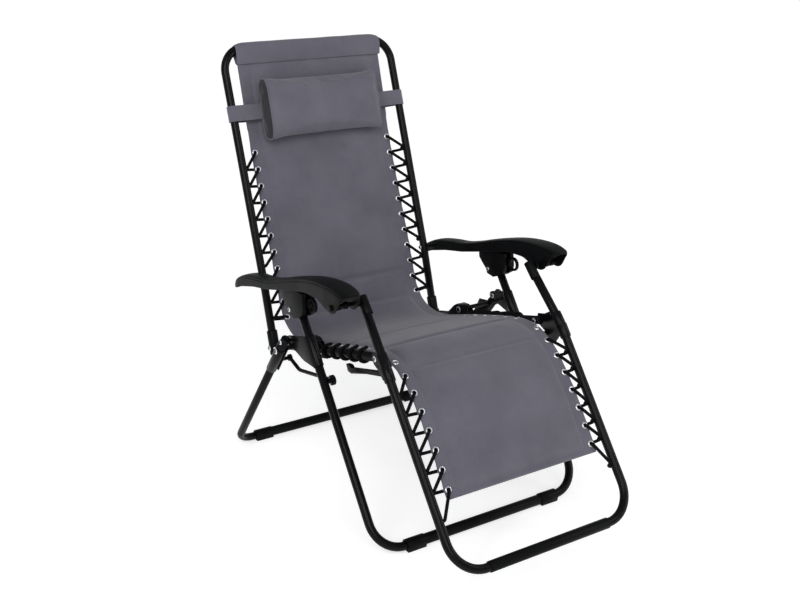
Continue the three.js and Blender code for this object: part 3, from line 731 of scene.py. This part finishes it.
for side, s in SIDES.items():
    rings = [armrest_section(y, s) for y in ARM_STATIONS]
    size = len(rings[0])
    verts, faces = rings_to_mesh(rings, capped=False)
    faces += channel_end(0, size) + channel_end((len(rings) - 1) * size, size)
    piece = add_piece(f"armrest_shell_{side}", verts, faces, PLASTIC, f"arm_{side}",
                      [f"armrest_{side}"], 42)
    modifier = piece.modifiers.new("round", "SUBSURF")
    modifier.levels = modifier.render_levels = 1


# ---------------------------------------------------------------- the sling's line
def spline(points, steps):
    """A smooth curve through side points, with steps places for each span."""
    route = []
    last = len(points) - 1
    for i in range(last):
        p0, p1, p2, p3 = points[max(i - 1, 0)], points[i], points[i + 1], points[min(i + 2, last)]
        for k in range(steps):
            t = k / steps
            route.append(tuple(
                p1[c] + 0.5 * t * ((p2[c] - p0[c]) + t * ((2 * p0[c] - 5 * p1[c] + 4 * p2[c] - p3[c])
                                                         + t * (3 * (p1[c] - p2[c]) + p3[c] - p0[c])))
                for c in (0, 1)))
    route.append(points[last])
    return route


LINE = spline(SLING_LINE, 40)
REACH = [0.0]
for a, b in zip(LINE, LINE[1:]):
    REACH.append(REACH[-1] + math.hypot(b[0] - a[0], b[1] - a[1]))
LENGTH = REACH[-1]


def on_line(distance):
    """The point, direction and forward normal of the sling at a distance from its top."""
    distance = min(max(distance, 0.0), LENGTH)
    low, high = 0, len(REACH) - 1
    while high - low > 1:
        middle = (low + high) // 2
        if REACH[middle] <= distance:
            low = middle
        else:
            high = middle
    share = (distance - REACH[low]) / (REACH[high] - REACH[low])
    a, b = LINE[low], LINE[high]
    point = (a[0] + (b[0] - a[0]) * share, a[1] + (b[1] - a[1]) * share)
    before, after = LINE[max(low - 2, 0)], LINE[min(high + 2, len(LINE) - 1)]
    direction = unit(before, after)
    return point, direction, (direction[1], -direction[0])


def distance_near(target):
    """The distance from the sling's top to its place nearest the target."""
    def gap(pair):
        place = pair[1]
        return math.hypot(place[0] - target[0], place[1] - target[1])
    return min(zip(REACH, LINE), key=gap)[0]


MIDDLE = distance_near((-60, 411))
# each run of eyelets starts at the side point given here
BACK_EYELETS = [distance_near((406, 824)) + EYELET_PITCH * i for i in range(11)]
SEAT_EYELETS = [distance_near((-8, 395)) + EYELET_PITCH * i for i in range(6)]
LEG_EYELETS = [distance_near((-312, 455)) + LEG_EYELET_PITCH * i for i in range(8)]
ALL_EYELETS = BACK_EYELETS + SEAT_EYELETS + LEG_EYELETS
CROSS_SEAMS = [32, distance_near((272, 458)), distance_near((236, 388)),
               distance_near((-232, 456)), distance_near((-340, 444)), LENGTH - 16]


# ---------------------------------------------------------------- the sling
# places across, closer together at the seam and the hem
HALF_COLUMNS = [0, 16, 32, 48, 64, 80, 96, 112, 126, 140, 152, 162, 170, 177, 182, 186, 188.5,
                190, 191.5, 194, 198, 203, 208, 213, 217, 220, 222, SLING_HALF]
COLUMNS = [-x for x in reversed(HALF_COLUMNS[1:])] + HALF_COLUMNS


def pad_depth(x, distance, front):
    """Half thickness of the padded fabric, in millimetres."""
    edge = SEAM_X - abs(x)
    wave = noise.noise(Vector((x / 70, distance / 95, 3.1 if front else 8.4)))
    if edge <= 0:
        near = min(abs(distance - e) for e in ALL_EYELETS)
        pucker = 0.9 * math.cos(distance / EYELET_PITCH * 2 * math.pi) * math.exp(-near / 30)
        hem = 0.9 if abs(x) > HEM_X else 0.0
        seam_dip = 0.8 * math.exp(-((abs(x) - SEAM_X) / 2.2) ** 2)
        rim = 1.0 if abs(x) < SLING_HALF - 1.5 else 0.55
        return max(0.5, (1.9 + hem + 0.5 * wave - seam_dip) * rim + (pucker if front else -pucker) * 0.4)
    body = (6.4 if front else 4.0) * (1 - math.exp(-edge / 9))
    crown = (3.0 if front else 0.5) * (1 - (abs(x) / SEAM_X) ** 2)
    quilt = 1.0
    for seam in CROSS_SEAMS:
        quilt *= 1 - 0.86 * math.exp(-((distance - seam) / 7.5) ** 2)
    soft = 0.9 * wave + 0.5 * noise.noise(Vector((x / 24, distance / 150, 1.7)))
    return 1.2 + (body + crown + soft * min(1, edge / 30)) * quilt


def scallop(distance):
    """The hem is pulled out at each eyelet and runs in a little between them."""
    first, last = ALL_EYELETS[0], ALL_EYELETS[-1]
    if distance < first - 60 or distance > last + 30:
        return 0.0
    near = min(abs(distance - e) for e in ALL_EYELETS)
    return 1.5 * (1 - math.exp(-(near / 16) ** 2))


def sling_point(x, distance, front):
    point, _, normal = on_line(distance)
    depth = pad_depth(x, distance, front) * (1 if front else -1)
    if abs(x) > SEAM_X:
        x = math.copysign(abs(x) - scallop(distance) * (abs(x) - SEAM_X) / (SLING_HALF - SEAM_X), x)
    return at(x, along(point, normal, depth))


def sling_panel(start, end):
    """A closed quilted panel with UVs in metres, as verts, faces and one UV for each vertex."""
    rows = max(2, round((end - start) / 6))
    distances = [start + (end - start) * i / rows for i in range(rows + 1)]
    verts, uvs = [], []
    for front in (True, False):
        for d in distances:
            for x in COLUMNS:
                verts.append(sling_point(x, d, front))
                uvs.append((x / 1000, d / 1000))
    return verts, sheet_faces(rows, len(COLUMNS)), uvs


def bar_drop(x):
    """How far the top bar's corner has bent down at x."""
    past = max(0.0, abs(x) - (BACK_X - BACK_CORNER_R))
    return BACK_CORNER_R - math.sqrt(BACK_CORNER_R ** 2 - past ** 2)


def pocket():
    """The sleeve sewn round the top bar, closed by a seam below it and following the bar's corners."""
    seam = -46
    crown_r = 13.9
    # (forward, up) from the bar's centre, over the bar from the seam in front to the seam behind
    profile = [(3.4, seam), (5.5, -38), (10.2, -22), (13.2, -9)]
    for k in range(9):
        angle = math.pi * k / 8
        profile.append((crown_r * math.cos(angle), crown_r * math.sin(angle)))
    profile += [(-13.2, -9), (-10.6, -22), (-6.5, -38), (-4.6, seam)]
    columns = [POCKET_HALF * (k - 30) / 30 for k in range(61)]
    verts, uvs = [], []
    size = len(profile)
    for inset in (0.0, 1.1):
        for x in columns:
            for i, (n, u) in enumerate(profile):
                direction = unit(profile[max(i - 1, 0)], profile[min(i + 1, size - 1)])
                slack = 0.5 * noise.noise(Vector((x / 45, i / 3, 5.0))) if inset == 0 else 0.0
                n2 = n - direction[1] * (inset + slack)
                u2 = u + direction[0] * (inset + slack) - bar_drop(x) * min(1, (u - seam) / 40)
                verts.append(at(x, along(along(BACK_TOP, back_high, u2), band_front, n2)))
                uvs.append((x / 1000, -i * 0.006))
    return verts, sheet_faces(len(columns) - 1, size), uvs


def add_sling(name, parts, replaced):
    verts, faces, uvs = [], [], []
    for part_verts, part_faces, part_uvs in parts:
        base = len(verts)
        verts += part_verts
        uvs += part_uvs
        faces += [tuple(base + i for i in face) for face in part_faces]
    piece = add_piece(name, verts, faces, FABRIC, None, replaced, 60)
    lay_uvs(piece, uvs)
    modifier = piece.modifiers.new("soften", "SUBSURF")
    modifier.levels = modifier.render_levels = 1
    return piece


upper = add_sling("sling_upper", [sling_panel(20, MIDDLE), pocket()], ["sling_back", "sling_seat"])
lower = add_sling("sling_lower", [sling_panel(MIDDLE, LENGTH)], ["sling_leg"])
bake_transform(upper)
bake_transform(lower)


# ---------------------------------------------------------------- eyelets and lacing
# (distance along the axis, radius)
EYELET_PROFILE = [(0, 4.6), (0, 8.6), (1.0, 8.3), (1.9, 7.2), (2.2, 6.2), (1.8, 5.2), (0.9, 4.6)]
KNOT_PROFILE = [(0, 1), (1.4, 4.2), (4, 5.2), (6.6, 4.2), (8, 1)]


def add_eyelets(name, distances, body):
    """A rolled ring on the front and the back of both hems at each distance."""
    parts = []
    for d in distances:
        point, _, normal = on_line(d)
        for s in (-1, 1):
            for face in (1, -1):
                base = at(s * EYELET_X, along(point, normal, face * 2.2))
                tip = at(s * EYELET_X, along(point, normal, face * 12))
                rings = lathe(base, tip, EYELET_PROFILE, 24)
                parts.append(rings_to_mesh(rings, capped=False, closed=True))
    add_piece(name, *merge_parts(*parts), ZINC, body, [], 60)


add_eyelets("eyelets_back", BACK_EYELETS, "back")
add_eyelets("eyelets_seat", SEAT_EYELETS, "seat")
add_eyelets("eyelets_leg_rest", LEG_EYELETS, "leg_rest")


def beside(line, target):
    """The place on a line of side points nearest the target, and the directions along and in front."""
    best = None
    for start, end in zip(line, line[1:]):
        axis = unit(start, end)
        length = math.hypot(end[0] - start[0], end[1] - start[1])
        run = (target[0] - start[0]) * axis[0] + (target[1] - start[1]) * axis[1]
        centre = along(start, axis, min(max(run, 0), length))
        distance = math.hypot(target[0] - centre[0], target[1] - centre[1])
        if best is None or distance < best[0]:
            normal = (-axis[1], axis[0])
            facing = normal if normal[1] > normal[0] else (axis[1], -axis[0])
            best = (distance, centre, axis, facing)
    return best[1:]


def beside_eyelet(distance, rise, s):
    point, _, normal = on_line(distance)
    return at(s * EYELET_X, along(point, normal, rise))


def tangent_angle(p, face, centre, facing, tube_x):
    """The angle round the tube at which a cord from the hem at p first touches it."""
    inward = EYELET_X - tube_x
    height = (p[0] - centre[0]) * facing[0] + (p[1] - centre[1]) * facing[1] + CORD_RISE * face
    bearing = math.atan2(height * face, inward) % (2 * math.pi)
    return face * (bearing - math.acos(WRAP_R / math.hypot(inward, height)))


def wrapped_lacing(distances, tube_x, line, s):
    """Up through an eyelet, over and round the rail, and back under the hem to the next eyelet."""
    steps = 12
    travel = 6   # along the rail while it goes round
    route = []
    for i, distance in enumerate(distances):
        route += [beside_eyelet(distance, -CORD_RISE, s), beside_eyelet(distance, CORD_RISE, s)]
        if i == len(distances) - 1:
            break
        here, following = on_line(distance)[0], on_line(distances[i + 1])[0]
        between = ((here[0] + following[0]) / 2, (here[1] + following[1]) / 2)
        centre, axis, facing = beside(line, between)
        start = tangent_angle(here, 1, centre, facing, tube_x)
        end = tangent_angle(following, -1, centre, facing, tube_x)
        for k in range(steps + 1):
            angle = start + (end - start) * k / steps
            place = along(centre, facing, WRAP_R * math.sin(angle))
            place = along(place, axis, travel * (k / steps - 0.5))
            route.append(at(s * (tube_x + WRAP_R * math.cos(angle)), place))
    return route


def steep_lacing(distances, tube_x, line, s, pitch, last_drop):
    """From the front of an eyelet to the tube's inner side, behind it and back to the next eyelet."""
    hold_from = 160   # degrees round the tube, from its outer side
    hold_step = 15
    route = []
    for i, distance in enumerate(distances):
        drop = last_drop if i == len(distances) - 1 else 0.8 * pitch
        route += [beside_eyelet(distance, -CORD_RISE, s), beside_eyelet(distance, CORD_RISE, s)]
        centre, axis, facing = beside(line, on_line(distance)[0])
        for k in range(7):
            angle = math.radians(hold_from + hold_step * k)
            place = along(along(centre, axis, drop + k), facing, WRAP_R * math.sin(angle))
            route.append(at(s * (tube_x + WRAP_R * math.cos(angle)), place))
    return route


def soft_route(route, reach=0.0045):
    """Rounds the turns of a cord's route, apart from those that are nearly straight."""
    straight = 2.6   # radians between the two sides of a turn
    result = [route[0]]
    for before, corner, after in zip(route, route[1:], route[2:]):
        back, ahead = before - corner, after - corner
        if back.angle(ahead) > straight:
            result.append(corner)
            continue
        a = corner + back.normalized() * min(reach, back.length * 0.45)
        b = corner + ahead.normalized() * min(reach, ahead.length * 0.45)
        for t in (0.0, 0.33, 0.67, 1.0):
            result.append(a * (1 - t) ** 2 + corner * (2 * t * (1 - t)) + b * t ** 2)
    result.append(route[-1])
    return result


BACK_LINE = (BACK_TOP, BACK_BEND, BACK_PIVOT)
SEAT_LINE = (BACK_PIVOT, KNEE_PIVOT)
LEG_LINE = (KNEE_BEND, KNEE_BAR)
upper_run, lower_run = BACK_EYELETS[:7], BACK_EYELETS[7:]
for side, s in SIDES.items():
    routes = {
        "back_lacing_upper": ("back", steep_lacing(upper_run, BACK_X, BACK_LINE, s, EYELET_PITCH, 32)),
        "back_lacing_lower": ("back", steep_lacing(lower_run, BACK_X, BACK_LINE, s, EYELET_PITCH, -6)),
        "seat_lacing": ("seat", wrapped_lacing(SEAT_EYELETS, RAIL_X, SEAT_LINE, s)),
        "leg_lacing": ("leg_rest", steep_lacing(LEG_EYELETS[1:], KNEE_X, LEG_LINE, s,
                                                LEG_EYELET_PITCH, 60)),
    }
    for name, (body, path) in routes.items():
        route = soft_route(path)
        below = Vector((0, 0, 0.004))
        knots = [rings_to_mesh(lathe(p - below, p, KNOT_PROFILE, 14)) for p in (route[0], route[-1])]
        verts, faces = merge_parts(sweep(route, CORD_R, 12), *knots)
        add_piece(f"{name}_cord_{side}", verts, faces, CORD, body, [f"{name}_{side}"], 60)


# ---------------------------------------------------------------- head pillow
PILLOW_CENTRE = (400, 940)
PILLOW_HALF = (174, 86, 23)   # across, up, deep
PILLOW_FLARE = 14
PILLOW_END = PILLOW_HALF[0]
PIPING_R = 1.9
STRAP_HALF = 21
STRAP_THICK = 1.8
STRAP_Z = 931
STRAP_WRAP_R = 13.3
pillow_up = unit((406, 824), (479, 1085))
pillow_front = (-pillow_up[1], pillow_up[0])


def pillow_point(x, u, n):
    return at(x, along(along(PILLOW_CENTRE, pillow_up, u), pillow_front, n))


def pillow_section(x, grow=1.0, sides=32):
    """The bolster's outline at x; it is a little wider behind than in front."""
    outline = []
    for angle in turn(sides):
        c, q = math.cos(angle), math.sin(angle)
        u = math.copysign(abs(c) ** 0.62, c) * PILLOW_HALF[1] * grow
        n = math.copysign(abs(q) ** 0.72, q) * PILLOW_HALF[2] * grow
        flare = PILLOW_FLARE * (0.5 - n / (2 * PILLOW_HALF[2])) * (x / PILLOW_END)
        outline.append(pillow_point(x + flare, u, n))
    return outline


def evaluated_mesh(piece):
    graph = bpy.context.evaluated_depsgraph_get()
    return bpy.data.meshes.new_from_object(piece.evaluated_get(graph))


def puff(piece, voxel, pressure, cap, frames=18):
    """Fills the pillow with air as cloth, no point moving further than cap, and keeps the result.

    Its flat ends take the second material, the weave darkened as painted shade, before they swell, so
    their edge stays clean.
    """
    scene = bpy.context.scene
    remesh = piece.modifiers.new("remesh", "REMESH")
    remesh.mode = "VOXEL"
    remesh.voxel_size = voxel
    settled = evaluated_mesh(piece)
    settled.materials.clear()
    for material in piece.data.materials:
        settled.materials.append(material)
    piece.modifiers.clear()
    piece.data = settled
    end_from = PILLOW_END / 1000 - 0.008
    # The end faces get the weave darkened as painted shade.
    for polygon in settled.polygons:
        if abs(polygon.normal.x) > 0.7 and abs(polygon.center.x) > end_from:
            polygon.material_index = 1
    start = [v.co.copy() for v in settled.vertices]
    cloth = piece.modifiers.new("cloth", "CLOTH")
    cloth.settings.quality = 5
    cloth.settings.mass = 0.25
    cloth.settings.tension_stiffness = 12
    cloth.settings.compression_stiffness = 8
    cloth.settings.bending_stiffness = 0.4
    cloth.settings.use_pressure = True
    cloth.settings.uniform_pressure_force = pressure
    cloth.settings.effector_weights.gravity = 0
    for k in range(1, frames + 1):
        scene.frame_set(k)
    swollen = evaluated_mesh(piece)
    for vertex, moved, rest in zip(settled.vertices, swollen.vertices, start):
        step = moved.co - rest
        if step.length > cap:
            step *= cap / step.length
        vertex.co = rest + step
    piece.modifiers.clear()
    scene.frame_set(1)
    for polygon in settled.polygons:
        polygon.use_smooth = True


stations = [-PILLOW_END, -PILLOW_END + 1.5] + [-168 + 12 * k for k in range(29)]
stations += [PILLOW_END - 1.5, PILLOW_END]
sections = [pillow_section(x, 0.965 if abs(x) >= PILLOW_END else 1.0) for x in stations]
pillow = add_piece("pillow_cover", *rings_to_mesh(sections), PILLOW_FABRIC, None, [], 60)
# The second material darkens the pillow's ends with painted shade.
pillow.data.materials.append(PAINTED_SHADE_GUSSET_FABRIC)
puff(pillow, 0.005, 4.0, 0.009)
for vertex in pillow.data.vertices:
    co = vertex.co
    edge = max(0.0, 1 - (PILLOW_END / 1000 + 0.002 - abs(co.x)) / 0.05)
    fold = noise.noise(Vector((co.x * 34, co.y * 9, co.z * 9))) * 0.0011
    fold += noise.noise(Vector((co.x * 60, co.z * 16, 4.0))) * 0.0009 * edge
    co.y -= fold
softer = pillow.modifiers.new("soften", "SUBSURF")
softer.levels = softer.render_levels = 1
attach(pillow, "headrest")
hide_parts("head_pillow")

skin = BVHTree.FromPolygons([v.co for v in pillow.data.vertices],
                            [tuple(p.vertices) for p in pillow.data.polygons])
for side, s in SIDES.items():
    outline = pillow_section(s * (PILLOW_END - 0.5), 1.02, 48)
    loop = [skin.find_nearest(p)[0] for p in outline]
    count = len(loop)
    loop = [(loop[i - 1] + loop[i] * 2 + loop[(i + 1) % count]) / 4 for i in range(count)]
    across = Vector((1, 0, 0))
    rings = []
    for i, p in enumerate(loop):
        t = (loop[(i + 1) % count] - loop[i - 1]).normalized()
        out = t.cross(across).normalized()
        rings.append([p + (out * math.cos(a) + across * math.sin(a)) * (PIPING_R / 1000)
                      for a in turn(10)])
    verts, faces = rings_to_mesh(rings, capped=False, closed=True)
    add_piece(f"pillow_piping_{side}", verts, faces, PILLOW_FABRIC, "headrest", [], 60)


# ---------------------------------------------------------------- pillow strap
def strap_path():
    """(x, forward) places from the pillow's left end round the tubes and behind to its right end."""
    half = [(166, 8), (174.6, 7), (196, 7.5), (218, 9.2), (240, 11.8), (252, 13.2)]
    for k in range(11):
        angle = math.radians(96 - 20 * k)
        half.append((BACK_X + STRAP_WRAP_R * math.cos(angle), STRAP_WRAP_R * math.sin(angle)))
    half += [(246, -20), (228, -27), (200, -30), (120, -30.5), (40, -30.5)]
    return half + [(-x, n) for x, n in reversed(half)]


def strap_mesh():
    """A closed band with UVs in metres: verts, faces, UVs and the length of its path."""
    centre = at_height(BACK_BEND, BACK_TOP, STRAP_Z)
    path = strap_path()
    columns = [STRAP_HALF * k / 4 for k in range(-4, 5)]
    verts, uvs = [], []
    for layer in (1, -1):
        run = 0.0
        for i, (x, n) in enumerate(path):
            before, after = path[max(i - 1, 0)], path[min(i + 1, len(path) - 1)]
            length = math.hypot(after[0] - before[0], after[1] - before[1])
            side = ((after[1] - before[1]) / length, -(after[0] - before[0]) / length)
            if i:
                run += math.hypot(x - path[i - 1][0], n - path[i - 1][1])
            for u in columns:
                lift = layer * STRAP_THICK / 2
                place = along(along(centre, back_high, u), band_front, n + side[1] * lift)
                verts.append(at(x + side[0] * lift, place))
                uvs.append((u / 1000, run / 1000))
    return verts, sheet_faces(len(path) - 1, len(columns)), uvs, run


verts, faces, uvs, strap_length = strap_mesh()
strap = add_piece("pillow_band", verts, faces, FABRIC, "headrest", ["pillow_strap"], 60)
lay_uvs(strap, uvs)


# ---------------------------------------------------------------- floor, light, camera
def add_floor():
    mesh = bpy.data.meshes.new("floor")
    reach = 30
    corners = [(-reach, -reach, 0), (reach, -reach, 0), (reach, reach, 0), (-reach, reach, 0)]
    mesh.from_pydata(corners, [], [(0, 1, 2, 3)])
    n = Nodes("pale_floor", (0.66, 0.66, 0.66), 0.9)
    n.set("Specular IOR Level", 0.05)
    n.set("Emission Color", (1.0, 1.0, 1.0, 1.0))
    n.set("Emission Strength", 0.58)
    mesh.materials.append(n.material)
    floor = bpy.data.objects.new("floor", mesh)
    bpy.context.scene.collection.objects.link(floor)


def add_light(name, kind, place, target, energy, size):
    """A sun, with its angular size, or a rectangle of light, with its two sides in metres."""
    data = bpy.data.lights.new(name, kind)
    data.energy = energy
    if kind == "SUN":
        data.angle = size
    else:
        data.shape = "RECTANGLE"
        data.size, data.size_y = size
    lamp = bpy.data.objects.new(name, data)
    lamp.location = place
    lamp.rotation_euler = (Vector(target) - Vector(place)).to_track_quat("-Z", "Y").to_euler()
    bpy.context.scene.collection.objects.link(lamp)


add_floor()
add_light("sky", "SUN", (-1.5, -3.6, 2.6), (0, 0, 0), 1.25, math.radians(35))
add_light("key", "AREA", (-2.6, -1.6, 2.2), (0, 0, 0.6), 32, (0.22, 2.2))
add_light("side", "AREA", (2.4, -1.9, 1.7), (0, 0, 0.6), 22, (0.2, 2.2))
world = bpy.data.worlds.new("studio")
world.use_nodes = True
background = world.node_tree.nodes["Background"]
background.inputs["Color"].default_value = (0.93, 0.94, 0.96, 1)
background.inputs["Strength"].default_value = 0.46
bpy.context.scene.world = world
bpy.context.scene.view_settings.view_transform = "Standard"

camera_data = bpy.data.cameras.new("camera")
camera_data.sensor_width = 36
camera_data.lens = 50.28
camera_data.shift_x = 0.0005
camera_data.shift_y = 0.0008
camera = bpy.data.objects.new("camera", camera_data)
azimuth, elevation, roll = math.radians(-32.70), math.radians(19.65), math.radians(0.18)
camera_reach = 2.960
target = Vector((0, SHIFT_Y / 1000, 0.4765))
away = Vector((math.sin(azimuth) * math.cos(elevation),
               -math.cos(azimuth) * math.cos(elevation),
               math.sin(elevation)))
camera.location = target + away * camera_reach
camera.rotation_euler = (-away).to_track_quat("-Z", "Y").to_euler()
camera.rotation_euler.rotate_axis("Z", roll)
bpy.context.scene.collection.objects.link(camera)
bpy.context.scene.camera = camera
